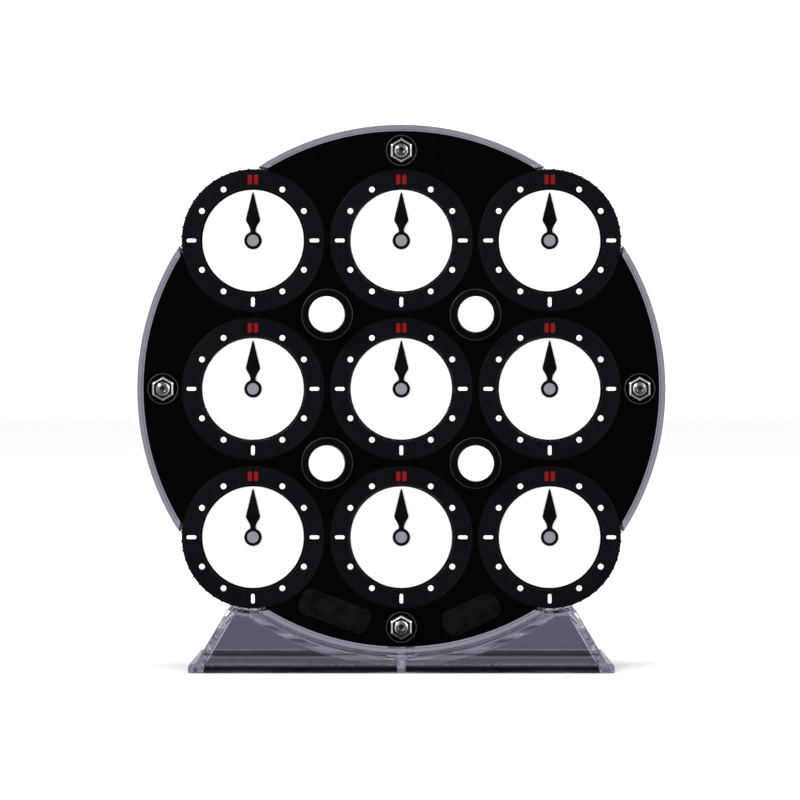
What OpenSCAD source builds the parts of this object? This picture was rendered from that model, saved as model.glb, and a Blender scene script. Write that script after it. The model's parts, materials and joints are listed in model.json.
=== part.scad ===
// Clock-type dial puzzle on a clear display stand. Millimetres.
// +X is right, the front faces -Y, +Z is up, and the origin is on the table under the stand's centre.
// A "depth" is a distance from the case's middle plane, towards the front or towards the back.

/* [Case] */
// Diameter of the clear rim round the case
rim_d = 100; // [99:0.5:101]
// Diameter of the black face plates
plate_d = 97.4; // [97:0.1:98]
// Overall thickness of the case, from plate to plate
case_t = 21; // [20.8:0.1:22]
// Thickness of a face plate
plate_t = 2; // [1.8:0.1:2.2]
// Distance between neighbouring dials
dial_pitch = 28; // [27.9:0.05:28.2]
// Outer diameter of an hour ring
ring_d = 26.9; // [26.6:0.1:27.2]
// Diameter of a plate's dial window
window_d = 19.9; // [19.8:0.1:20.2]

/* [Dials] */
// Diameter of a white dial face
face_d = 19.2; // [19:0.1:19.4]
// Diameter of a dial's axle
axle_d = 2.2; // [2:0.1:2.4]
// Length of a hand, from the dial's centre to its tip
hand_l = 9.1; // [8.5:0.1:9.2]
// Teeth on a dial's gear, a multiple of 12
dial_teeth = 48; // [48:12:48]

/* [Pins] */
// Diameter of a push pin
pin_d = 6.7; // [6.5:0.1:7]
// Distance that a pin slides, from front to back
pin_travel = 5; // [4.9:0.05:5.1]
// Teeth on a pin's idler gear, a multiple of 4
idler_teeth = 24; // [24:4:24]

/* [Fasteners] */
// Distance of a screw from the case's centre
screw_at = 45; // [44.8:0.1:45.2]
// Thread diameter of a screw
screw_d = 2; // [1.8:0.1:2]
// Width across a lock nut's flats
nut_af = 4; // [4:0.1:4.2]

/* [Stand] */
// Width of the stand at the table
stand_w = 78.8; // [78:0.2:80]
// Depth of the stand at the table
stand_depth = 38; // [36:0.5:42]
// Height of the stand
stand_h = 12.4; // [12:0.1:13]
// Slope of the stand's ends, in degrees from upright
end_slope = 30; // [28:1:32]
// Slope of the stand's front and back, in degrees from upright
face_slope = 31; // [28:1:33]
// Wall thickness of the stand
stand_wall = 1.7; // [1.5:0.1:1.8]
// Height of the case's centre above the table
case_z = 53; // [53:0.1:54]

/* [Hidden] */
$fn = 96;
// running gap on radius of a shaft in its hole
shaft_gap = 0.05;
// gap round a pin or a screw in its hole, and round a boss in its socket
pin_gap = 0.1;
// gap between neighbouring pieces that move past each other
clear = 0.3;
// how far a cutting shape passes the face that it cuts
past = 1;

// case depths
plate_out = case_t / 2;
plate_in = plate_out - plate_t;
ring_seat = plate_out - 0.8;
ring_out = plate_out + 0.1;
face_out = plate_out - 0.5;
hand_out = face_out + 0.4;
web_t = 0.8;
post_out = 1.1;

// gears: a dial and the idlers that stand diagonally between dials
gear_m = dial_pitch * sqrt(2) / (dial_teeth + idler_teeth);
pressure = 20;
play = 0.1;
gear_in = 1.2;
gear_out = 4;
long_gear_out = plate_in - clear;
pocket_d = face_d - 2.4;
hub_d = 4.4;
dial_tip_d = gear_m * (dial_teeth + 2);

// plate details
rib_d = window_d + 2.1;
rib_end = gear_out + 0.4;
collar_d = 9.7;
collar_out = plate_out + 0.3;
boss_d = 5.8;
boss_end = 6.5;
pocket_floor = plate_in - 0.3;
nut_pocket_d = 5.7;

// pins, at rest pushed to the front
idler_t = 2;
idler_front = pin_travel / 2 + idler_t / 2;
flange_d = 9.2;
flange_t = 1.2;
neck_d = 5;
neck_end = 3;
pin_chamfer = 0.4;
pin_boss_end = idler_front + shaft_gap + flange_t + clear;

// middle frame
rim_wall = 2.8;
arm_w = 12;
corner_cut_d = dial_tip_d + 2 * clear;

// screws and nuts
head_d = 3.8;
head_t = 1.5;
socket_af = 1.5;
nut_h = 2.8;
insert_d = 3.3;
insert_h = 0.8;
screw_tip = pocket_floor + nut_h + 0.2;

// stand
trough_r = rim_d / 2 + clear;
relief_r = ring_d / 2 + 0.85;
relief_wall = 1.1;
bead_h = 1.8;
bead_out = 0.4;
bead_r = 1.2;
rest_block = [5.4, 1.4, 3.3];
rib_t = 1.3;

// name, column and row of each dial
CORNERS = [["top_left", -1, 1], ["top_right", 1, 1], ["bottom_left", -1, -1], ["bottom_right", 1, -1]];
CENTRES = [["top", 0, 1], ["left", -1, 0], ["centre", 0, 0], ["right", 1, 0], ["bottom", 0, -1]];
DIALS = concat(CORNERS, CENTRES);
SCREWS = [[0, 1], [1, 0], [0, -1], [-1, 0]];
// name and direction of the case's two sides
SIDES = [["front", 1], ["rear", -1]];

// ---- placing ----

// Extrudes an outline, drawn as seen from the front about the case's centre, between two depths.
module layer(d0, d1) {
  translate([0, -d0, case_z]) rotate([90, 0, 0]) linear_extrude(d1 - d0) children();
}

// Turns a piece made for the front into the one for side s.
module on_side(s) {
  if (s > 0) children();
  else mirror([0, 1, 0]) children();
}

module at_dial(c) translate([c[1] * dial_pitch, c[2] * dial_pitch]) children();

module at_pin(c) translate([c[1] * dial_pitch / 2, c[2] * dial_pitch / 2]) children();

module at_dials(list) for (c = list) at_dial(c) children();

module at_pins() for (c = CORNERS) at_pin(c) children();

module at_screws() for (s = SCREWS) translate(s * screw_at) children();

// ---- gears ----

// Angle in degrees that an involute has turned where the angle of pressure is a.
function involute(a) = tan(a) * 180 / PI - a;

// Half the angle that a tooth takes up at radius r.
function tooth_half(r, teeth) =
  let (pitch_r = gear_m * teeth / 2, base_r = pitch_r * cos(pressure))
  (90 - play * 180 / (PI * gear_m)) / teeth
  + involute(pressure) - involute(acos(base_r / max(r, base_r)));

// Gear outline. A phase of 0 puts a tooth on the X axis, and 0.5 a gap.
module gear_outline(teeth, phase) {
  pitch_r = gear_m * teeth / 2;
  radii = [pitch_r - 1.2 * gear_m, pitch_r, pitch_r + gear_m];
  polygon([
    for (i = [0 : teeth - 1], side = [-1, 1], k = [0 : 2])
      let (r = radii[side < 0 ? k : 2 - k], a = (i + phase) * 360 / teeth + side * tooth_half(r, teeth))
        r * [cos(a), sin(a)]
  ]);
}

// ---- case ----

module plate_outline() {
  circle(d = plate_d);
  at_dials(CORNERS) circle(d = ring_d);
}

// Front face plate: windows with guide ribs, pin holes with bosses, and screw pockets.
module face_plate() {
  difference() {
    union() {
      layer(plate_in, ring_seat) plate_outline();
      layer(ring_seat, plate_out) difference() {
        circle(d = plate_d);
        at_dials(DIALS) circle(d = ring_d + 0.1);
      }
      layer(rib_end, plate_in) at_dials(CENTRES) circle(d = rib_d);
      layer(pin_boss_end, plate_in) at_pins() circle(d = collar_d);
      layer(boss_end, plate_in) at_screws() circle(d = boss_d);
      layer(plate_out, collar_out) at_pins() circle(d = collar_d);
    }
    layer(rib_end - past, plate_out + past) at_dials(DIALS) circle(d = window_d);
    layer(pin_boss_end - past, collar_out + past) at_pins() circle(d = pin_d + 2 * pin_gap);
    layer(pocket_floor, plate_out + past) at_screws() circle(d = nut_pocket_d);
    layer(boss_end - past, plate_out + past) at_screws() circle(d = screw_d + 2 * pin_gap);
  }
}

module plate(s) color([0.02, 0.02, 0.025]) on_side(s) face_plate();

module hour_rings(s) {
  color([0.07, 0.07, 0.08]) on_side(s) layer(ring_seat, ring_out) at_dials(DIALS) difference() {
    circle(d = ring_d);
    circle(d = window_d);
  }
}

// Clear frame between the plates: a rim cut away at the corner gears, on a cross that holds the axles.
// Sockets in the rim take the plates' screw bosses.
module middle_frame() {
  color([0.7, 0.68, 0.74, 0.5]) difference() {
    union() {
      layer(-plate_in, plate_in) difference() {
        circle(d = rim_d);
        circle(d = rim_d - 2 * rim_wall);
      }
      layer(-web_t, web_t) intersection() {
        circle(d = rim_d - rim_wall);
        union() {
          square([rim_d, arm_w], center = true);
          square([arm_w, rim_d], center = true);
        }
      }
      layer(-post_out, post_out) at_dials(CENTRES) circle(d = hub_d);
      layer(-boss_end, boss_end) at_screws() circle(d = boss_d);
    }
    layer(-plate_in - past, plate_in + past) at_dials(CORNERS) circle(d = corner_cut_d);
    layer(-post_out - past, post_out + past) at_dials(CENTRES) circle(d = axle_d);
    layer(-boss_end - past, boss_end + past) at_screws() circle(d = screw_d + 2 * pin_gap);
    for (s = SIDES) on_side(s[1]) layer(boss_end, plate_in + past) at_screws() circle(d = boss_d + 2 * pin_gap);
  }
}

// Axles of the top, left, centre, right and bottom dials, fixed in the middle frame.
module dial_axles() {
  color([0.6, 0.6, 0.64]) layer(-hand_out, hand_out) at_dials(CENTRES) circle(d = axle_d);
}

// ---- fasteners ----

module screws() {
  color([0.75, 0.73, 0.7]) {
    layer(-pocket_floor, screw_tip) at_screws() circle(d = screw_d);
    difference() {
      layer(-pocket_floor - head_t, -pocket_floor) at_screws() circle(d = head_d);
      layer(-pocket_floor - head_t - past, -pocket_floor - head_t / 2)
        at_screws() rotate(30) circle(d = socket_af / cos(30), $fn = 6);
    }
  }
}

module lock_nuts() {
  color([0.78, 0.76, 0.73]) difference() {
    layer(pocket_floor, pocket_floor + nut_h) at_screws() rotate(30) circle(d = nut_af / cos(30), $fn = 6);
    layer(pocket_floor - past, pocket_floor + nut_h + past) at_screws() circle(d = screw_d);
    layer(pocket_floor + nut_h - insert_h, pocket_floor + nut_h + past) at_screws() circle(d = insert_d);
  }
}

// Nylon locking rings in the nuts' mouths.
module nut_inserts() {
  color([0.05, 0.05, 0.06]) layer(pocket_floor + nut_h - insert_h, pocket_floor + nut_h - 0.1)
    at_screws() difference() {
      circle(d = insert_d);
      circle(d = screw_d);
    }
}

// ---- dials ----

// Outline of a hand's blade: a leaf with a narrow waist.
module blade_outline() {
  half = [
    [0.1, 1], [1.3, 0.46], [1.35, 0.43], [1.25, 0.39],
    [0.9, 0.33], [0.6, 0.265], [0.48, 0.21], [0.6, 0.14]
  ];
  polygon(concat(
    [for (p = half) [p[0], p[1] * hand_l]],
    [for (i = [len(half) - 1 : -1 : 0]) [-half[i][0], half[i][1] * hand_l]]
  ));
}

// Front hand of dial c: the blade on a round hub.
module hand(c) {
  difference() {
    union() {
      layer(face_out, hand_out) at_dial(c) blade_outline();
      layer(face_out, hand_out) at_dial(c) circle(d = axle_d + 1.1);
    }
    layer(face_out - past, hand_out + past) at_dial(c) circle(d = axle_d + 2 * shaft_gap);
  }
}

// A top, left, centre, right or bottom dial: gear, drum and white face in one moulding, hollow inside.
module dial_wheel(c, s) {
  color("white") on_side(s) difference() {
    union() {
      difference() {
        union() {
          layer(gear_in, gear_out) at_dial(c) gear_outline(dial_teeth, 0.5);
          layer(gear_out, face_out) at_dial(c) circle(d = face_d);
        }
        layer(gear_in - past, face_out - 1.2) at_dial(c) circle(d = pocket_d);
      }
      layer(gear_in, face_out) at_dial(c) circle(d = hub_d);
    }
    layer(gear_in - past, face_out + past) at_dial(c) circle(d = axle_d + 2 * shaft_gap);
  }
}

module dial_hand(c, s) {
  color([0.03, 0.03, 0.035]) on_side(s) hand(c);
}

// Long gear of a corner dial, in mesh with its idler at every place along the idler's slide.
module corner_gear(c) {
  color([0.04, 0.04, 0.045]) difference() {
    union() {
      difference() {
        layer(-long_gear_out, long_gear_out) at_dial(c) gear_outline(dial_teeth, 0.5);
        for (s = SIDES) on_side(s[1]) layer(web_t, plate_out) at_dial(c) circle(d = pocket_d);
      }
      layer(-long_gear_out, long_gear_out) at_dial(c) circle(d = hub_d);
    }
    layer(-plate_out, plate_out) at_dial(c) circle(d = axle_d);
  }
}

// White face discs on both ends of a corner gear.
module corner_faces(c) {
  color("white") for (s = SIDES) on_side(s[1]) layer(long_gear_out, face_out) at_dial(c) difference() {
    circle(d = face_d);
    circle(d = axle_d);
  }
}

module corner_hands(c) {
  color([0.03, 0.03, 0.035]) for (s = SIDES) on_side(s[1]) hand(c);
}

// Axle of a corner dial, which turns with it.
module corner_axle(c) {
  color([0.6, 0.6, 0.64]) layer(-hand_out, hand_out) at_dial(c) circle(d = axle_d);
}

// ---- pins ----

// A round bar along a pin's axis between two depths, with its end at d1 chamfered.
module bar(c, d0, d1) {
  layer(d0, d1 - pin_chamfer) at_pin(c) circle(d = pin_d);
  translate([c[1] * dial_pitch / 2, pin_chamfer - d1, case_z + c[2] * dial_pitch / 2])
    rotate([90, 0, 0]) cylinder(h = pin_chamfer, d1 = pin_d, d2 = pin_d - 2 * pin_chamfer);
}

// Front piece of a push pin, with a flange and the neck that its idler turns on.
module pin_body(c) {
  seat = idler_front + shaft_gap;
  color("white") {
    bar(c, seat, plate_out + pin_travel);
    layer(seat, seat + flange_t) at_pin(c) circle(d = flange_d);
    layer(-neck_end, seat) at_pin(c) circle(d = neck_d);
  }
}

// Rear piece of a push pin, pressed on the neck behind the idler.
module pin_cap(c) {
  seat = idler_front - idler_t - shaft_gap;
  color("white") difference() {
    union() {
      on_side(-1) bar(c, -seat, plate_out);
      layer(seat - flange_t, seat) at_pin(c) circle(d = flange_d);
    }
    layer(-neck_end, seat + past) at_pin(c) circle(d = neck_d);
  }
}

module idler_gear(c) {
  color([0.85, 0.85, 0.83]) layer(idler_front - idler_t, idler_front) at_pin(c) difference() {
    gear_outline(idler_teeth, 0);
    circle(d = neck_d + 2 * shaft_gap);
  }
}

// ---- stand ----

// Block with four sloping sides, inset all round by w and reaching up to height h.
module sloped_block(w, h) {
  x0 = stand_w / 2 - w / cos(end_slope);
  y0 = stand_depth / 2 - w / cos(face_slope);
  x1 = x0 - h * tan(end_slope);
  y1 = y0 - h * tan(face_slope);
  intersection() {
    rotate([90, 0, 0]) linear_extrude(stand_depth + 2, center = true)
      polygon([[-x0, 0], [x0, 0], [x1, h], [-x1, h]]);
    rotate([90, 0, 90]) linear_extrude(stand_w + 2, center = true)
      polygon([[-y0, 0], [y0, 0], [y1, h], [-y1, h]]);
  }
}

// Space of the case's rim, enlarged by w, up to the stand's ends or to half_w from its middle.
module trough(w, half_w = stand_w) {
  intersection() {
    layer(-stand_depth, stand_depth) circle(r = trough_r + w);
    translate([-half_w, -2 * stand_depth, -past]) cube([2 * half_w, 4 * stand_depth, case_z]);
  }
}

// Space of the case's two lower lobes, enlarged by w.
module lobe_reliefs(w) {
  layer(-stand_depth, stand_depth) at_dials([for (c = CORNERS) if (c[2] < 0) c]) circle(r = relief_r + w);
}

module rounded_plate(w, d, r, h) {
  linear_extrude(h) {
    square([w - 2 * r, d], center = true);
    square([w, d - 2 * r], center = true);
    for (x = [-1, 1], y = [-1, 1]) translate([x * (w / 2 - r), y * (d / 2 - r)]) circle(r = r);
  }
}

// Hollow stand: a trough that holds the case, sloping sides and a bead round its foot.
module stand() {
  color([0.62, 0.6, 0.66, 0.5]) difference() {
    union() {
      difference() {
        sloped_block(0, stand_h);
        trough(0);
        lobe_reliefs(0);
      }
      rounded_plate(stand_w + 2 * bead_out, stand_depth + 2 * bead_out, bead_r, bead_h);
      for (y = [-1, 1]) translate([0, y * (plate_out + 1.5), rest_block[2] / 2])
        cube(rest_block, center = true);
    }
    difference() {
      translate([0, 0, -0.01]) sloped_block(stand_wall, stand_h + 0.01);
      trough(stand_wall, dial_pitch + clear);
      lobe_reliefs(relief_wall);
      translate([-rib_t / 2, -stand_depth, -past]) cube([rib_t, 2 * stand_depth, stand_h]);
    }
  }
}

// ---- the object ----

stand();
middle_frame();
dial_axles();
plate(1);  // front_plate
plate(-1);  // rear_plate
hour_rings(1);  // front_hour_rings
hour_rings(-1);  // rear_hour_rings
screws();
lock_nuts();
nut_inserts();
for (c = CORNERS) {
  corner_gear(c);
  corner_faces(c);
  corner_hands(c);
  corner_axle(c);
  pin_body(c);
  pin_cap(c);
  idler_gear(c);
}
for (s = SIDES, c = CENTRES) {
  dial_wheel(c, s[1]);
  dial_hand(c, s[1]);
}
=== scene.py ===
"""Looks of a clock-type dial puzzle on a clear display stand.

Metres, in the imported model's frame: +X is right, the front faces -Y, +Z is up, and the floor is at z = 0.
A "depth" is a distance from the case's middle plane, towards the side in hand: 1 is the front, -1 the rear.
"""

import json
import math

import bmesh
import bpy
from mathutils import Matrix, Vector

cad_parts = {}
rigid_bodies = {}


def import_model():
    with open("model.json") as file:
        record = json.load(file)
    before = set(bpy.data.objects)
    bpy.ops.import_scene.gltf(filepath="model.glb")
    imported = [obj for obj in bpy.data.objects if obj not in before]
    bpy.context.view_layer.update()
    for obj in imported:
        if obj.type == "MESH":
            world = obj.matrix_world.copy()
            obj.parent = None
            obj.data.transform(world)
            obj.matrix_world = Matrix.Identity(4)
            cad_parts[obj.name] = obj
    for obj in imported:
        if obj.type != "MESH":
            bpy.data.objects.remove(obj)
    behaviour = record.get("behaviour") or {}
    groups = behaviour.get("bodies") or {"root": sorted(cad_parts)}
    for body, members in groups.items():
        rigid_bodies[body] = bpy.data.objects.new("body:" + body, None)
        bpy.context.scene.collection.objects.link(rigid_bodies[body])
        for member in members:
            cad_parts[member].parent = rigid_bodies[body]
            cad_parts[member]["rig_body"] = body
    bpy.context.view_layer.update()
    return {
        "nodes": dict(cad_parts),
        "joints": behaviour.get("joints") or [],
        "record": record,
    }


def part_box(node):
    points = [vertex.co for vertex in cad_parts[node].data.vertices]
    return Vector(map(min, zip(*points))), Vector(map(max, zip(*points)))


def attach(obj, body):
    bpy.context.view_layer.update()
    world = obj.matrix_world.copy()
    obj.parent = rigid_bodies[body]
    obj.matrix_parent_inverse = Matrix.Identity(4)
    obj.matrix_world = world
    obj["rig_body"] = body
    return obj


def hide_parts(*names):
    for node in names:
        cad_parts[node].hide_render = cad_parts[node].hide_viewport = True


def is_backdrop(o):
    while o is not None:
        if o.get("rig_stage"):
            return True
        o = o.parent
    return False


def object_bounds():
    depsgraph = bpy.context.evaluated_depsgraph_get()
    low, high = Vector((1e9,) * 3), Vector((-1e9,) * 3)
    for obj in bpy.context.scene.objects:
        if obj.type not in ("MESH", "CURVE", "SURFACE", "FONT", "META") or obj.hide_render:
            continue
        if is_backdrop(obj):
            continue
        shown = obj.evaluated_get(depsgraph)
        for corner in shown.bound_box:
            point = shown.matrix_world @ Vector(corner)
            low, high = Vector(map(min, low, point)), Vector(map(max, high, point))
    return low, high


MM = 0.001
SIDES = {"front": 1, "rear": -1}
HOURS = 12

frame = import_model()


# ---- sizes, from the frame ----


def joint_place(name):
    """(x, z) of a joint's axis."""
    for joint in frame["joints"]:
        if joint["name"] == name:
            return joint["pos_m"][0], joint["pos_m"][2]
    raise ValueError(f"there is no joint named {name}")


def names_after(start):
    """What follows start in the name of each joint that begins with it."""
    return [joint["name"][len(start):] for joint in frame["joints"] if joint["name"].startswith(start)]


CORNERS = names_after("corner_turn_")
CENTRES = names_after("front_turn_")
DIALS = [joint_place(f"corner_turn_{c}") for c in CORNERS] + [joint_place(f"front_turn_{c}") for c in CENTRES]
PINS = [joint_place(f"idler_turn_{c}") for c in CORNERS]
CASE_X, CASE_Z = joint_place("front_turn_centre")

RING_SEAT = -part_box("front_hour_rings")[1].y
RING_OUT = -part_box("front_hour_rings")[0].y
RING_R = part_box("front_hour_rings")[1].x - max(x for x, z in DIALS)
RING_INNER_R = 9.95 * MM
RING_PROUD = 0.1 * MM
PLATE_OUT = RING_OUT - RING_PROUD
COLLAR_OUT = -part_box("front_plate")[0].y

NUT_FLOOR = -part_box("lock_nuts")[1].y
NUT_TOP = -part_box("lock_nuts")[0].y
NUT_FLATS = 4 * MM
SCREW_TIP = -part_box("screws")[0].y
SCREW_FACE = -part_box("screws")[1].y
SCREW_R = 1 * MM
HEAD_R = 1.9 * MM
# how far the screws are from the case's centre, and which way
SCREW_AT = 45 * MM
SCREW_WAYS = [(0, 1), (1, 0), (0, -1), (-1, 0)]
SCREW_PLACES = [(CASE_X + SCREW_AT * dx, CASE_Z + SCREW_AT * dz) for dx, dz in SCREW_WAYS]

# fine concentric grooves, on the hour rings and on the collars that stand proud round the pins
GROOVE_PITCH = 0.38 * MM
GROOVE_DEPTH = 0.04 * MM
COLLAR_TOP = COLLAR_OUT + GROOVE_DEPTH


# ---- materials ----

# sizes of the lumps in the shade and in the gloss of plastic, clear plastic and metal
SHADE_LUMPS = 6 * MM
GLOSS_LUMPS = 2.2 * MM
GROOVED_SHADE_LUMPS = 0.5 * MM
GROOVED_GRAIN = 0.12 * MM
CLEAR_SHADE_LUMPS = 9 * MM
CLEAR_GLOSS_LUMPS = 3 * MM
CLEAR_WAVES = 5 * MM
PALER = 1.06
METAL_SHADE_LUMPS = 0.8 * MM
METAL_GLOSS_LUMPS = 0.4 * MM
FLOOR_SHADE_LUMPS = 40 * MM

DUST_SPACING = 3.1 * MM
DUST_R = 0.13 * MM
DUST = (0.03, 0.03, 0.035)

# painted shade: how clear the stand is, from 0 to 1, at heights above the table, along its foot and along the
# lines above it in front; the dark bands stand in for dark surroundings seen through the plastic
FOOT_SHADE_BAR = [(0, 0.3), (0.3 * MM, 0.3), (0.6 * MM, 0.0), (1.25 * MM, 0.0), (1.5 * MM, 1.0)]
FOOT_SHADE_LINES = [
    (0, 1.0), (1.75 * MM, 1.0), (1.9 * MM, 0.2), (2.3 * MM, 0.2), (2.5 * MM, 1.0), (3.15 * MM, 1.0),
    (3.25 * MM, 0.0), (3.45 * MM, 0.0), (3.6 * MM, 1.0),
]
# how far from the middle the painted shade fades out: near the stand's ends, and near the rib under its
# trough
END_FADE = (36.9 * MM, 37.2 * MM)
RIB_FADE = (0.6 * MM, 0.8 * MM)


class Shader:
    """A material on one Principled node, with short ways to drive its inputs from textures."""

    def __init__(self, name, **fixed):
        self.material = bpy.data.materials.new(name)
        self.material.use_nodes = True
        self.tree = self.material.node_tree
        self.principled = self.tree.nodes["Principled BSDF"]
        for key, value in fixed.items():
            self.principled.inputs[key.replace("_", " ")].default_value = value

    def node(self, kind, **inputs):
        made = self.tree.nodes.new(kind)
        for key, value in inputs.items():
            self.feed(made.inputs[key.replace("_", " ")], value)
        return made

    def feed(self, socket, value):
        if isinstance(value, bpy.types.NodeSocket):
            self.tree.links.new(value, socket)
        else:
            socket.default_value = value

    def drive(self, key, value):
        self.feed(self.principled.inputs[key], value)

    def place(self):
        return self.node("ShaderNodeTexCoord").outputs["Object"]

    def along(self, axis):
        return self.node("ShaderNodeSeparateXYZ", Vector=self.place()).outputs[axis]

    def from_middle(self, axis):
        """How far a place is from the middle plane across that axis."""
        made = self.node("ShaderNodeMath", Value=self.along(axis))
        made.operation = "ABSOLUTE"
        return made.outputs["Value"]

    def behind(self):
        """0 in front of the case's middle plane, and 1 behind it."""
        return self.remap(self.along("Y"), 0, 1, -MM, MM)

    def noise(self, size, detail=2.0):
        """Cloudy values round 0.5, in lumps of about this size."""
        made = self.node("ShaderNodeTexNoise", Vector=self.place(), Scale=1 / size, Detail=detail)
        return made.outputs["Fac"]

    def specks(self, spacing, radius):
        """1 on small round specks, one to a cell of this spacing, and 0 elsewhere."""
        cells = self.node("ShaderNodeTexVoronoi", Vector=self.place(), Scale=1 / spacing)
        return self.remap(cells.outputs["Distance"], 1, 0, radius / spacing * 0.6, radius / spacing)

    def remap(self, value, low, high, start=0.35, end=0.65):
        """Takes start to low and end to high, and stays level beyond them."""
        made = self.node("ShaderNodeMapRange", Value=value)
        made.inputs["From Min"].default_value = start
        made.inputs["From Max"].default_value = end
        made.inputs["To Min"].default_value = low
        made.inputs["To Max"].default_value = high
        return made.outputs["Result"]

    def steps(self, value, stops):
        """Levels from 0 to 1 that follow a length, given as stops of (length, level)."""
        span = stops[-1][0]
        ramp = self.node("ShaderNodeValToRGB", Fac=self.remap(value, 0, 1, 0, span))
        set_stops(ramp, [(at / span, level) for at, level in stops])
        return ramp.outputs["Color"]

    def colour(self, factor, first, second):
        made = self.node("ShaderNodeMix")
        made.data_type = "RGBA"
        self.feed(made.inputs["Factor"], factor)
        colours = [s for s in made.inputs if s.type == "RGBA"]
        self.feed(colours[0], first if isinstance(first, bpy.types.NodeSocket) else (*first, 1))
        self.feed(colours[1], second if isinstance(second, bpy.types.NodeSocket) else (*second, 1))
        return [s for s in made.outputs if s.type == "RGBA"][0]

    def bump(self, height, depth):
        made = self.node("ShaderNodeBump", Height=height, Distance=depth, Strength=1.0)
        self.drive("Normal", made.outputs["Normal"])


def set_stops(ramp, stops):
    """Gives a colour ramp its grey stops, each (place from 0 to 1, level)."""
    for i, (place, level) in enumerate(stops):
        stop = ramp.color_ramp.elements[i] if i < 2 else ramp.color_ramp.elements.new(place)
        stop.position = place
        stop.color = (level, level, level, 1)


def moulded(name, dark, light, rough, grain=0.25 * MM, depth=0.004 * MM, **fixed):
    """Moulded plastic: a faint change of shade, uneven gloss, and a fine grain."""
    shader = Shader(name, **fixed)
    shader.drive("Base Color", shader.colour(shader.noise(SHADE_LUMPS, 4.0), dark, light))
    shader.drive("Roughness", shader.remap(shader.noise(GLOSS_LUMPS, 3.0), *rough))
    shader.bump(shader.noise(grain, 3.0), depth)
    return shader.material


def ribbed(name, groove_shade, crest_sheen, rough, top):
    """Black moulding cut with fine grooves, with specks of dust: paler towards its top, at that depth, as
    painted shade down in the grooves and a painted sheen on their crests.
    """
    shader = Shader(name, Specular_IOR_Level=0.08)
    bottom, crest = top - 0.8 * GROOVE_DEPTH, top - 0.2 * GROOVE_DEPTH
    # painted shade and sheen: darker towards the grooves' bottoms, paler towards their crests
    shade = shader.colour(shader.remap(shader.from_middle("Y"), 0, 1, bottom, crest), groove_shade, crest_sheen)
    shade = shader.colour(shader.noise(GROOVED_SHADE_LUMPS, 4.0), shade, groove_shade)
    shade = shader.colour(shader.specks(DUST_SPACING, DUST_R), shade, DUST)
    shader.drive("Base Color", shade)
    shader.drive("Roughness", shader.remap(shader.noise(GLOSS_LUMPS, 3.0), *rough))
    shader.bump(shader.noise(GROOVED_GRAIN, 3.0), 0.006 * MM)
    return shader.material


def painted_foot_shade(shader, shade, foot):
    """Paints shade on the stand's foot: a dark bar along it, and dark lines just above it on the front wall
    only, which stand in for dark surroundings seen through the plastic.
    """
    height, across = shader.along("Z"), shader.from_middle("X")
    shaded = shader.colour(shader.steps(height, FOOT_SHADE_LINES), foot, shade)
    shaded = shader.colour(shader.behind(), shaded, shade)
    shaded = shader.colour(shader.steps(height, FOOT_SHADE_BAR), foot, shaded)
    shaded = shader.colour(shader.remap(across, 0, 1, *END_FADE), shaded, shade)
    return shader.colour(shader.remap(across, 1, 0, *RIB_FADE), shaded, shade)


def clear_plastic(name, tint, ior, foot=None):
    """Clear moulding, with faint flow marks and a polished skin: tint colours the light through its
    thickness, and where it is darker or more coloured than the plastic's own it is painted shade.

    foot is a dark colour, painted as shade on the stand's foot and on the lines above it, standing in for
    dark surroundings seen through the plastic.
    """
    shader = Shader(name, Transmission_Weight=1.0, IOR=ior)
    pale = [min(1.0, PALER * c) for c in tint]
    shade = shader.colour(shader.noise(CLEAR_SHADE_LUMPS), tint, pale)
    if foot:
        shade = painted_foot_shade(shader, shade, foot)
    shader.drive("Base Color", shade)
    shader.drive("Roughness", shader.remap(shader.noise(CLEAR_GLOSS_LUMPS, 3.0), 0.015, 0.04))
    shader.bump(shader.noise(CLEAR_WAVES), 0.002 * MM)
    return shader.material


def metal(name, dark, light, rough, grain, depth, metallic=1.0, front=None):
    """Metal with an uneven polish. The part in front of the middle plane may have its own two shades."""
    shader = Shader(name, Metallic=metallic)
    lumps = shader.noise(METAL_SHADE_LUMPS, 4.0)
    shade = shader.colour(lumps, dark, light)
    if front:
        shade = shader.colour(shader.behind(), shader.colour(lumps, *front), shade)
    shader.drive("Base Color", shade)
    shader.drive("Roughness", shader.remap(shader.noise(METAL_GLOSS_LUMPS, 3.0), *rough))
    shader.bump(shader.noise(grain), depth)
    return shader.material


# the darker and the lighter shade of what several materials are made of
WHITE = ((0.86, 0.86, 0.87), (0.9, 0.9, 0.9))
NICKEL = ((0.62, 0.6, 0.57), (0.82, 0.8, 0.77))

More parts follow.
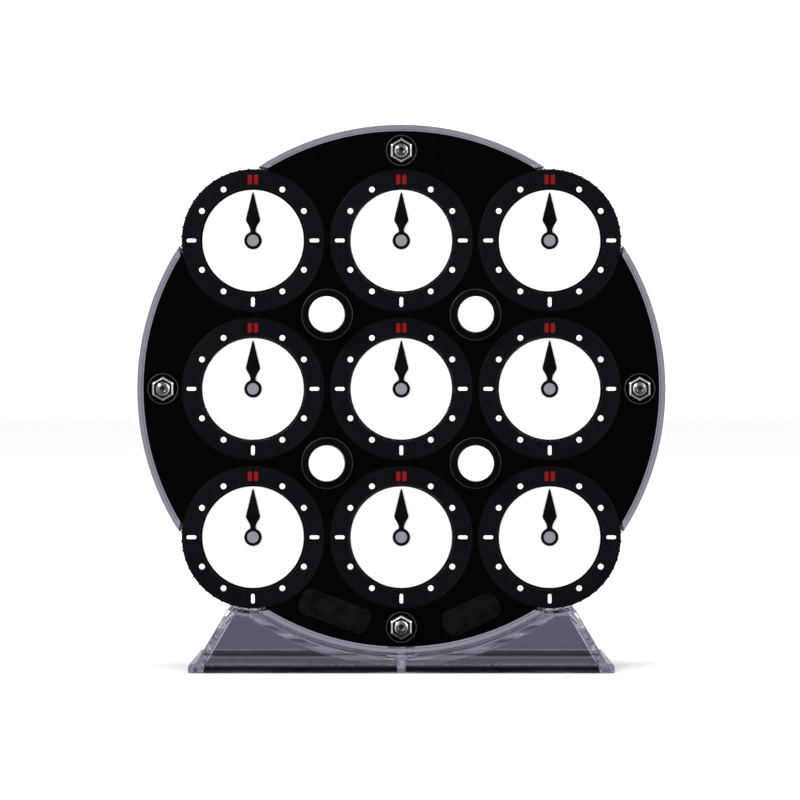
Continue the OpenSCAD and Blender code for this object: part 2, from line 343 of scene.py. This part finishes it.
MATERIALS = {
    # The clear tints are partly painted shade: their lilac, and most of the stand's darkness, stand in for a
    # grey-lilac backdrop seen through the plastic.
    # the stand's foot colour is painted shade, for its dark bar and the lines above it
    "clear_stand": clear_plastic("clear_stand", (0.47, 0.45, 0.58), 1.56, foot=(0.03, 0.03, 0.045)),
    "clear_frame": clear_plastic("clear_frame", (0.82, 0.8, 1.0), 1.52),
    "black_plate": moulded(
        "black_plate", (0.0005, 0.0005, 0.0007), (0.0009, 0.0009, 0.0012), (0.2, 0.3),
        Specular_IOR_Level=0.12,
    ),
    # hour rings and pin collars: each first colour is painted shade in the grooves, each second a painted
    # sheen on their crests
    "hour_ring": ribbed(
        "hour_ring", (0.0006, 0.0006, 0.0012), (0.0088, 0.0084, 0.0135), (0.32, 0.45), RING_OUT,
    ),
    # painted highlight: the raised edge rings are coloured far lighter than the black plate
    "painted_highlight_edge": moulded("painted_highlight_edge", (0.01, 0.01, 0.013), (0.022, 0.022, 0.026), (0.3, 0.4)),
    "pin_collar": ribbed(
        "pin_collar", (0.0006, 0.0006, 0.001), (0.004, 0.004, 0.0055), (0.3, 0.42), COLLAR_TOP,
    ),
    "white_face": moulded("white_face", *WHITE, (0.3, 0.42)),
    "black_hand": moulded(
        "black_hand", (0.0006, 0.0006, 0.0009), (0.0014, 0.0014, 0.002), (0.35, 0.5),
        Specular_IOR_Level=0.15,
    ),
    "steel_axle": metal(
        "steel_axle", (0.17, 0.16, 0.19), (0.22, 0.21, 0.245), (0.45, 0.6), 0.12 * MM, 0.004 * MM,
        metallic=0.0,
    ),
    "bright_steel": metal("bright_steel", *NICKEL, (0.1, 0.24), 0.1 * MM, 0.002 * MM),
    "screw_steel": metal(
        "screw_steel", *NICKEL, (0.14, 0.28), 0.1 * MM, 0.003 * MM,
        front=((0.05, 0.045, 0.045), (0.3, 0.28, 0.27)),
    ),
    "nylon": moulded("nylon", (0.004, 0.004, 0.005), (0.008, 0.008, 0.01), (0.35, 0.5)),
    "black_gear": moulded(
        "black_gear", (0.003, 0.003, 0.004), (0.006, 0.006, 0.008), (0.3, 0.42), Specular_IOR_Level=0.3,
    ),
    "white_pin": moulded("white_pin", *WHITE, (0.25, 0.36)),
    "idler": moulded("idler", (0.68, 0.68, 0.64), (0.78, 0.78, 0.74), (0.4, 0.55)),
    "white_mark": moulded("white_mark", *WHITE, (0.4, 0.5)),
    "red_mark": moulded(
        "red_mark", (0.14, 0.002, 0.003), (0.2, 0.004, 0.003), (0.4, 0.5), Specular_IOR_Level=0.1,
    ),
    "blank_pad": moulded(
        "blank_pad", (0.0004, 0.0004, 0.0008), (0.002, 0.002, 0.0036), (0.32, 0.5), grain=0.7 * MM,
        depth=0.2 * MM, Specular_IOR_Level=0.2,
    ),
}


# ---- outlines, as points about their own centre ----

# how many points go round a circle, round a screw, and in each rounded corner of a bar
ROUND = 96
SCREW_ROUND = 48
CORNER_STEPS = 6


def polar(radius_at, count):
    """Points at even angles, at the radius that radius_at gives for each angle."""
    angles = [2 * math.pi * i / count for i in range(count)]
    return [(radius_at(a) * math.cos(a), radius_at(a) * math.sin(a)) for a in angles]


def circle(radius, count=ROUND):
    return polar(lambda angle: radius, count)


def hexagon(flats, count=ROUND, limit=None):
    """Hexagon with corners up and down, cut back to a circle of radius limit."""
    sector = math.pi / 3

    def radius_at(angle):
        edge = flats / 2 / math.cos((angle + sector / 2) % sector - sector / 2)
        return edge if limit is None else min(edge, limit)

    return polar(radius_at, count)


def rounded_bar(width, height, corner, inset=0.0):
    """Bar with rounded corners, made smaller all round by inset."""
    points = []
    for quarter, (sx, sz) in enumerate(((1, 1), (-1, 1), (-1, -1), (1, -1))):
        for i in range(CORNER_STEPS + 1):
            angle = math.pi / 2 * (quarter + i / CORNER_STEPS)
            x = sx * (width / 2 - corner) + (corner - inset) * math.cos(angle)
            z = sz * (height / 2 - corner) + (corner - inset) * math.sin(angle)
            points.append((x, z))
    return points


# ---- meshes ----


def put(points, place, turn=0.0):
    """Turns points by an angle and moves them to a place on the face."""
    c, s = math.cos(turn), math.sin(turn)
    return [(place[0] + c * x - s * z, place[1] + s * x + c * z) for x, z in points]


def loft(bm, side, rings, loop=False):
    """Skins rings of points, each (points, depth), and closes both ends, or with loop joins them up."""
    made = [[bm.verts.new((x, -side * depth, z)) for x, z in points] for points, depth in rings]
    pairs = list(zip(made, made[1:]))
    if loop:
        pairs.append((made[-1], made[0]))
    for a, b in pairs:
        for i in range(len(a)):
            k = (i + 1) % len(a)
            bm.faces.new((a[i], a[k], b[k], b[i]))
    if not loop:
        bm.faces.new(made[0])
        bm.faces.new(made[-1])


def turned(bm, side, place, profile):
    """Turns a closed profile of (radius, depth) about an axis through place."""
    loft(bm, side, [(put(circle(r), place), d) for r, d in profile], loop=True)


def add_piece(name, bm, material, body, replaced=(), sharp=40):
    """Makes bm a piece of that name: smooth shading but for edges sharper than the angle, riding on body."""
    bmesh.ops.recalc_face_normals(bm, faces=bm.faces)
    for edge in bm.edges:
        edge.smooth = edge.calc_face_angle(0) < math.radians(sharp)
    for face in bm.faces:
        face.smooth = True
    mesh = bpy.data.meshes.new(name)
    bm.to_mesh(mesh)
    bm.free()
    mesh.materials.append(MATERIALS[material])
    piece = bpy.data.objects.new(name, mesh)
    bpy.context.scene.collection.objects.link(piece)
    weighted = piece.modifiers.new("weighted_normals", "WEIGHTED_NORMAL")
    weighted.keep_sharp = True
    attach(piece, body)
    if replaced:
        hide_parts(*replaced)


# ---- CAD nodes with their edges broken ----

WELD = 0.002 * MM
FLAT_WITHIN = math.radians(0.5)
BEVEL_ABOVE = math.radians(38)

# how far each kind of node has its edges rounded, in millimetres, and in how many steps
EDGES = {
    "stand": (0.22, 3), "middle_frame": (0.12, 3), "front_plate": (0.12, 2), "rear_plate": (0.12, 2),
    "dial_axles": (0.08, 2), "corner_axle": (0.08, 2), "corner_gear": (0.06, 2), "corner_faces": (0.12, 3),
    "corner_hands": (0.06, 2), "front_wheel": (0.12, 2), "rear_wheel": (0.12, 2), "front_hand": (0.06, 2),
    "rear_hand": (0.06, 2), "pin_body": (0.15, 3), "pin_cap": (0.15, 3), "idler_gear": (0.06, 2),
}

# the bead round the stand's foot, whose outer upper edges are rounded further
BEAD_H = 1.8 * MM
BEAD_R = 1.2 * MM
BEAD_ROUND = 0.8 * MM
BEAD_ROUND_STEPS = 6
LEVEL_WITHIN = 0.01 * MM
OUTLINE_WITHIN = 0.02 * MM


def round_over(bm, edges, width, segments):
    bmesh.ops.bevel(
        bm, geom=edges, offset=width, offset_type="OFFSET", segments=segments, profile=0.5, affect="EDGES",
    )


def on_outline(point, wide, reach):
    """Whether a point lies on the bead's outline, a rectangle with rounded corners."""
    x, y = abs(point.x) - (wide - BEAD_R), abs(point.y) - (reach - BEAD_R)
    if x <= 0 or y <= 0:
        return abs(max(x, y) - BEAD_R) < OUTLINE_WITHIN
    return abs(math.hypot(x, y) - BEAD_R) < OUTLINE_WITHIN


def bead_edges(bm):
    """The outer upper edges of the bead round the stand's foot."""
    wide, reach = max(v.co.x for v in bm.verts), max(v.co.y for v in bm.verts)
    edges = []
    for edge in bm.edges:
        level = all(abs(v.co.z - BEAD_H) < LEVEL_WITHIN for v in edge.verts)
        if level and all(on_outline(v.co, wide, reach) for v in edge.verts):
            edges.append(edge)
    return edges


def broken_edges(node, width, segments):
    """A bmesh of a CAD node with flat faces joined and its sharp edges rounded."""
    bm = bmesh.new()
    bm.from_mesh(frame["nodes"][node].data)
    bmesh.ops.remove_doubles(bm, verts=bm.verts, dist=WELD)
    bmesh.ops.dissolve_limit(bm, angle_limit=FLAT_WITHIN, verts=bm.verts, edges=bm.edges)
    if node == "stand":
        round_over(bm, bead_edges(bm), BEAD_ROUND, BEAD_ROUND_STEPS)
    sharp = [e for e in bm.edges if e.calc_face_angle(0) > BEVEL_ABOVE]
    round_over(bm, sharp, width, segments)
    return bm


def finish_nodes():
    """Puts a piece with broken edges in place of each CAD node that EDGES names."""
    slots = {row["node"]: row["material_slot"] for row in frame["record"]["subparts"]}
    for node in sorted(frame["nodes"]):
        kind = next((k for k in EDGES if node == k or node.startswith(k + "_")), None)
        if kind is None:
            continue
        width, segments = EDGES[kind]
        body = frame["nodes"][node]["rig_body"]
        bm = broken_edges(node, width * MM, segments)
        add_piece(f"{node}_finished", bm, slots[node], body, [node])


# ---- hour rings ----

RING_ROUND = 0.14 * MM


def grooves(start, end, top):
    """A profile of fine concentric grooves between two radii."""
    count = round((end - start) / GROOVE_PITCH)
    step = (end - start) / count
    bottom = top - GROOVE_DEPTH
    profile = []
    for i in range(count):
        r = start + i * step
        profile += [(r, top), (r + 0.35 * step, top), (r + 0.5 * step, bottom), (r + 0.85 * step, bottom)]
    return profile + [(end, top)]


def grooved_ring(bm, side, place, radii, seat, top, rounding):
    """A grooved ring between two radii and two depths, its upper edges rounded by that much."""
    inner, outer = radii
    edge_in = [(inner, seat), (inner, top - rounding), (inner + 0.3 * rounding, top - 0.3 * rounding)]
    edge_out = [(outer - 0.3 * rounding, top - 0.3 * rounding), (outer, top - rounding), (outer, seat)]
    middle = grooves(inner + rounding, outer - rounding, top)
    turned(bm, side, place, edge_in + middle + edge_out)


def hour_rings(name, side):
    bm = bmesh.new()
    for place in DIALS:
        grooved_ring(bm, side, place, (RING_INNER_R, RING_R), RING_SEAT, RING_OUT, RING_ROUND)
    node = f"{name}_hour_rings"
    add_piece(f"{node}_grooved", bm, "hour_ring", "case", [node])


# ---- hour marks ----

MARK_RAISED = 0.04 * MM
# the radius where each kind of mark sits, and its width, height and corner: dots, lines and 12 o'clock's bars
DOT_R = 11.1 * MM
DOT_SIZE = (1.08 * MM, 1.08 * MM, 0.53 * MM)
LINE_R = 11.6 * MM
LINE_SIZE = (0.7 * MM, 1.85 * MM, 0.34 * MM)
BAR_R = 11.5 * MM
BAR_SIZE = (0.82 * MM, 1.86 * MM, 0.3 * MM)
BAR_OFF = 0.58 * MM


def raised_mark(bm, side, place, turn, size, seat, top):
    """A bar with rounded corners, from seat to top, with a chamfer a third of that high."""
    edge = (top - seat) / 3
    width, height, corner = size
    outer = put(rounded_bar(width, height, corner), place, turn)
    inner = put(rounded_bar(width, height, corner, edge), place, turn)
    loft(bm, side, [(outer, seat), (outer, top - edge), (inner, top)])


def on_dial(dial, angle, radius, off=0.0):
    """A place at an angle clockwise from 12 o'clock, moved sideways by off."""
    x = dial[0] + radius * math.sin(angle) + off * math.cos(angle)
    z = dial[1] + radius * math.cos(angle) - off * math.sin(angle)
    return x, z


def hour_marks(name, side):
    """The marks of all nine dials: two red bars at 12, a line at each other quarter, and dots."""
    white, red = bmesh.new(), bmesh.new()
    seat, top = RING_OUT - 2 * GROOVE_DEPTH, RING_OUT + MARK_RAISED
    for dial in DIALS:
        for hour in range(HOURS):
            angle = 2 * math.pi * hour / HOURS
            if hour == 0:
                for off in (-BAR_OFF, BAR_OFF):
                    raised_mark(red, side, on_dial(dial, angle, BAR_R, off), -angle, BAR_SIZE, seat, top)
            elif hour % 3 == 0:
                raised_mark(white, side, on_dial(dial, angle, LINE_R), -angle, LINE_SIZE, seat, top)
            else:
                raised_mark(white, side, on_dial(dial, angle, DOT_R), -angle, DOT_SIZE, seat, top)
    add_piece(f"{name}_white_marks", white, "white_mark", "case")
    add_piece(f"{name}_red_marks", red, "red_mark", "case")


# ---- pin collars, raised edge rings with a painted highlight, and blank pads on the plates ----

SUNK = 0.05 * MM
COLLAR_R = (3.6 * MM, 4.7 * MM)
COLLAR_ROUND = 0.04 * MM
COLLAR_EDGE_W = 0.14 * MM
POCKET_RIM_R = 2.72 * MM
POCKET_RIM_W = 0.2 * MM
POCKET_RIM_RAISED = 0.06 * MM
EDGE_RING_DEEP = 0.1 * MM
PAD_RAISED = 0.12 * MM
# place from the case's centre, size, corner and turn of each blank pad
PADS = [
    ((-12.6 * MM, -42 * MM), (13.6 * MM, 5 * MM, 1.6 * MM), math.radians(-20)),
    ((13.15 * MM, -42.6 * MM), (11.4 * MM, 5 * MM, 2 * MM), math.radians(25)),
]


def edge_ring(bm, side, place, inner, width, top):
    """A thin raised ring round the edge of a hole or a disc, whose rounded top catches the light; the rings
    are also coloured lighter than the plate, as a painted highlight.
    """
    seat, crest = top - EDGE_RING_DEEP, top - width / 6
    profile = [(inner, seat), (inner, crest), (inner + width / 3, top), (inner + 2 * width / 3, top)]
    turned(bm, side, place, profile + [(inner + width, crest), (inner + width, seat)])


def plate_details(name, side):
    collars, edges, pads = bmesh.new(), bmesh.new(), bmesh.new()
    for place in SCREW_PLACES:
        edge_ring(edges, side, place, POCKET_RIM_R, POCKET_RIM_W, PLATE_OUT + POCKET_RIM_RAISED)
    for place in PINS:
        grooved_ring(collars, side, place, COLLAR_R, COLLAR_OUT - SUNK, COLLAR_TOP, COLLAR_ROUND)
        edge_ring(edges, side, place, COLLAR_R[1], COLLAR_EDGE_W, COLLAR_TOP)
    for (x, z), size, turn in PADS:
        place = CASE_X + x, CASE_Z + z
        raised_mark(pads, side, place, turn, size, PLATE_OUT - SUNK, PLATE_OUT + PAD_RAISED)
    add_piece(f"{name}_pin_collars", collars, "pin_collar", "case")
    # the edge rings carry a painted highlight in their lighter colour
    add_piece(f"{name}_painted_highlight_edges", edges, "painted_highlight_edge", "case")
    add_piece(f"{name}_blank_pads", pads, "blank_pad", "case")


# ---- screws and lock nuts ----

THREAD_PITCH = 0.4 * MM
THREAD_DEPTH = 0.2 * MM
TIP_LENGTH = 0.3 * MM
SOCKET_FLATS = 1.5 * MM
SOCKET_DEEP = 0.75 * MM
SOCKET_FLARE = 0.16 * MM
SOCKET_FLARE_DEEP = 0.1 * MM
SOCKET_POINT_R = 0.1 * MM
SOCKET_POINT_DEEP = 0.8 * MM
UNDER_HEAD = 0.05 * MM

# These profiles are in millimetres.
# (cut off the flats, cut off the corners, depth): a nut from its floor up, then its chamfer, from its top
NUT_FOOT = [(0, 0.25, 0), (0, 0, 0.14)]
NUT_CHAMFER = [(0, 0, -0.22), (0.08, 0.06, -0.17), (0.64, 0.4, -0.02)]
# (radius, depth from a nut's top): its crown and the slot for the insert, its threaded lip, and the insert
NUT_CROWN = [(1.7, -0.02), (1.66, -0.08), (1.66, -0.8), (1.3, -0.8), (1.3, -0.34), (1.26, -0.26)]
NUT_LIP = [(1.17, -0.2), (1.07, -0.14), (1.03, -0.3)]
INSERT = [(1.3, -0.8), (1.3, -0.42), (1.45, -0.36), (1.66, -0.42), (1.66, -0.8)]
# (cut off the head's radius, depth from its face)
HEAD_EDGE = [(0.22, 0), (0.06, 0.06), (0, 0.22)]
# (radius, depth from a screw's tip)
SCREW_END = [
    (1, -0.3), (1, -0.17), (0.72, -0.03), (0.62, 0), (0.54, -0.04), (0.48, -0.3), (0.34, -0.2),
    (0.28, -0.22), (0.2, -0.5),
]


def nut_rings(place):
    """Rings of a lock nut: chamfered flats, a crown, a slot for the insert, and a threaded lip."""
    corner = NUT_FLATS / 2 / math.cos(math.pi / 6)
    rings = []
    for face, cuts in ((NUT_FLOOR, NUT_FOOT), (NUT_TOP, NUT_CHAMFER)):
        for flat_cut, corner_cut, d in cuts:
            outline = hexagon(NUT_FLATS - flat_cut * MM, limit=corner - corner_cut * MM)
            rings.append((outline, face + d * MM))
    rings += [(circle(r * MM), NUT_TOP + d * MM) for r, d in NUT_CROWN + NUT_LIP]
    rings.append((circle(SCREW_R), NUT_FLOOR))
    return [(put(points, place), depth) for points, depth in rings]


def screw_profile():
    """(radius, depth) from just under the head to the tip: threads, a chamfer, and a dimpled end."""
    profile = []
    start, end = -NUT_FLOOR, SCREW_TIP - TIP_LENGTH
    count = int((end - start) / THREAD_PITCH)
    for i in range(count):
        at = start + (i + 0.5) * THREAD_PITCH
        profile += [(SCREW_R, at - THREAD_PITCH / 4), (SCREW_R - THREAD_DEPTH, at + THREAD_PITCH / 4)]
    return profile + [(r * MM, SCREW_TIP + d * MM) for r, d in SCREW_END]


def screw_rings(place):
    """Rings of a whole screw, from the floor of its socket round the head to its tip."""
    point = circle(SOCKET_POINT_R, SCREW_ROUND)
    socket = hexagon(SOCKET_FLATS, SCREW_ROUND)
    mouth = hexagon(SOCKET_FLATS + SOCKET_FLARE, SCREW_ROUND)
    rings = [(point, SOCKET_POINT_DEEP), (socket, SOCKET_DEEP), (socket, SOCKET_FLARE_DEEP), (mouth, 0)]
    rings += [(circle(HEAD_R - cut * MM, SCREW_ROUND), d * MM) for cut, d in HEAD_EDGE]
    rings = [(points, SCREW_FACE + depth) for points, depth in rings]
    under = [(HEAD_R, -NUT_FLOOR - UNDER_HEAD), (HEAD_R - UNDER_HEAD, -NUT_FLOOR)]
    rings += [(circle(r, SCREW_ROUND), d) for r, d in under + screw_profile()]
    return [(put(points, place), depth) for points, depth in rings]


def fasteners():
    """Four screws with their heads at the rear, and their lock nuts with inserts at the front."""
    nuts, inserts, screws = bmesh.new(), bmesh.new(), bmesh.new()
    front = SIDES["front"]
    for place in SCREW_PLACES:
        loft(nuts, front, nut_rings(place), loop=True)
        loft(screws, front, screw_rings(place))
        turned(inserts, front, place, [(r * MM, NUT_TOP + d * MM) for r, d in INSERT])
    add_piece("lock_nuts_turned", nuts, "bright_steel", "case", ["lock_nuts"], sharp=25)
    add_piece("nut_inserts_turned", inserts, "nylon", "case", ["nut_inserts"])
    add_piece("screws_turned", screws, "screw_steel", "case", ["screws"], sharp=25)


# ---- stage ----

FLOOR_R = 8

# The studio's strength. Each list holds (part of a direction along an axis, -1 to 1, strength or share).
# where it is seen, or lights a surface
SEEN = 1.12
# where it is mirrored: along Y, times a share along Z, which is less below and overhead
MIRRORED = [(-1.0, 0.02), (-0.86, 0.03), (-0.7, 1.2), (-0.46, 1.7), (-0.38, 0.45), (0.0, 0.45)]
MIRRORED_BY_HEIGHT = [(-1.0, 0.3), (-0.5, 0.4), (0.1, 1.0), (0.76, 1.0), (0.84, 0.25)]
# where it is seen through clear plastic: along Z, and then two lights with their shares along Y
SEEN_THROUGH = [
    (-1.0, 0.6), (-0.5, 0.54), (-0.25, 0.31), (0.0, 0.33), (0.12, 0.34), (0.3, 0.46), (0.6, 0.48), (0.9, 0.6),
]
SIDEWAYS = [(-1.0, 0.0), (0.0, 0.0), (0.1, 1.0), (0.4, 1.0), (0.5, 0.0)]
EDGE_LIGHT = 3.0
BACKWARDS = [(-1.0, 1.0), (-0.1, 1.0), (0.05, 0.0)]
BACK_LIGHT = 0.6

# place, width and height, and watts of each soft light
LIGHTS = {
    "key": ((-0.8, -0.75, 0.75), (0.35, 0.35), 6),
    "fill": ((0.9, -0.6, 0.5), (0.2, 0.5), 2),
    "top": ((0.0, 0.1, 1.2), (1.0, 0.4), 4),
}

CAMERA_AT = (-0.00025, -0.65, 0.0509)
LENS_MM = 152.5
SENSOR_MM = 36

# how often light may be mirrored or pass through a surface, for the clear walls one behind the other
MAX_BOUNCES = 24
CLEAR_BOUNCES = 20


def make_floor():
    shader = Shader("pale_floor", Roughness=0.7, Specular_IOR_Level=0.1)
    shade = shader.colour(shader.noise(FLOOR_SHADE_LUMPS, 4.0), (0.9, 0.9, 0.9), (0.93, 0.93, 0.93))
    shader.drive("Base Color", shade)
    bm = bmesh.new()
    bmesh.ops.create_circle(bm, cap_ends=True, segments=64, radius=FLOOR_R)
    mesh = bpy.data.meshes.new("floor")
    bm.to_mesh(mesh)
    bm.free()
    mesh.materials.append(shader.material)
    floor = bpy.data.objects.new("floor", mesh)
    bpy.context.scene.collection.objects.link(floor)
    floor.visible_glossy = False
    floor.visible_transmission = False
    floor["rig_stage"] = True


def banded(tree, value, stops):
    """A strength that follows a direction's part along one axis, from -1 to 1."""
    share = tree.nodes.new("ShaderNodeMapRange")
    share.inputs["From Min"].default_value = -1
    tree.links.new(value, share.inputs["Value"])
    bands = tree.nodes.new("ShaderNodeValToRGB")
    tree.links.new(share.outputs["Result"], bands.inputs["Fac"])
    set_stops(bands, [((at + 1) / 2, level) for at, level in stops])
    return bands.outputs["Color"]


def blended(tree, factor, first, second):
    """A strength from first to second, each a number or a socket."""
    made = tree.nodes.new("ShaderNodeMapRange")
    tree.links.new(factor, made.inputs["Value"])
    for key, value in (("To Min", first), ("To Max", second)):
        if isinstance(value, bpy.types.NodeSocket):
            tree.links.new(value, made.inputs[key])
        else:
            made.inputs[key].default_value = value
    return made.outputs["Result"]


def multiplied(tree, first, second):
    made = tree.nodes.new("ShaderNodeMath")
    made.operation = "MULTIPLY"
    tree.links.new(first, made.inputs[0])
    tree.links.new(second, made.inputs[1])
    return made.outputs["Value"]


def make_world():
    """Even pale studio, but banded where it is mirrored and where it is seen through clear plastic."""
    world = bpy.data.worlds.new("studio")
    bpy.context.scene.world = world
    world.use_nodes = True
    tree = world.node_tree
    path = tree.nodes.new("ShaderNodeLightPath")
    direction = tree.nodes.new("ShaderNodeSeparateXYZ")
    tree.links.new(tree.nodes.new("ShaderNodeTexCoord").outputs["Generated"], direction.inputs["Vector"])
    y, z = direction.outputs["Y"], direction.outputs["Z"]
    through = blended(tree, banded(tree, y, SIDEWAYS), banded(tree, z, SEEN_THROUGH), EDGE_LIGHT)
    through = blended(tree, banded(tree, y, BACKWARDS), through, BACK_LIGHT)
    mirrored = multiplied(tree, banded(tree, y, MIRRORED), banded(tree, z, MIRRORED_BY_HEIGHT))
    strength = blended(tree, path.outputs["Is Glossy Ray"], SEEN, mirrored)
    strength = blended(tree, path.outputs["Is Transmission Ray"], strength, through)
    background = tree.nodes["Background"]
    background.inputs["Color"].default_value = (1, 1, 1, 1)
    tree.links.new(strength, background.inputs["Strength"])


def make_light(name, place, size, watts):
    """A soft light that faces the model's middle."""
    data = bpy.data.lights.new(name, "AREA")
    data.shape = "RECTANGLE"
    data.size, data.size_y = size
    data.energy = watts
    light = bpy.data.objects.new(name, data)
    light.location = place
    light.visible_camera = False
    bpy.context.scene.collection.objects.link(light)
    low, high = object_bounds()
    to_middle = (low + high) / 2 - light.location
    light.rotation_euler = to_middle.to_track_quat("-Z", "Y").to_euler()


def make_camera():
    """Level, and square to the front."""
    data = bpy.data.cameras.new("camera")
    data.sensor_width = SENSOR_MM
    data.lens = LENS_MM
    camera = bpy.data.objects.new("camera", data)
    camera.location = CAMERA_AT
    camera.rotation_euler = (math.pi / 2, 0, 0)
    bpy.context.scene.collection.objects.link(camera)
    bpy.context.scene.camera = camera


finish_nodes()
for side_name, side_sign in SIDES.items():
    hour_rings(side_name, side_sign)
    hour_marks(side_name, side_sign)
    plate_details(side_name, side_sign)
fasteners()
make_floor()
make_world()
for light_name, (light_place, light_size, light_watts) in LIGHTS.items():
    make_light(light_name, light_place, light_size, light_watts)
make_camera()
bpy.context.scene.view_settings.view_transform = "Standard"
bpy.context.scene.cycles.max_bounces = MAX_BOUNCES
bpy.context.scene.cycles.glossy_bounces = CLEAR_BOUNCES
bpy.context.scene.cycles.transmission_bounces = CLEAR_BOUNCES
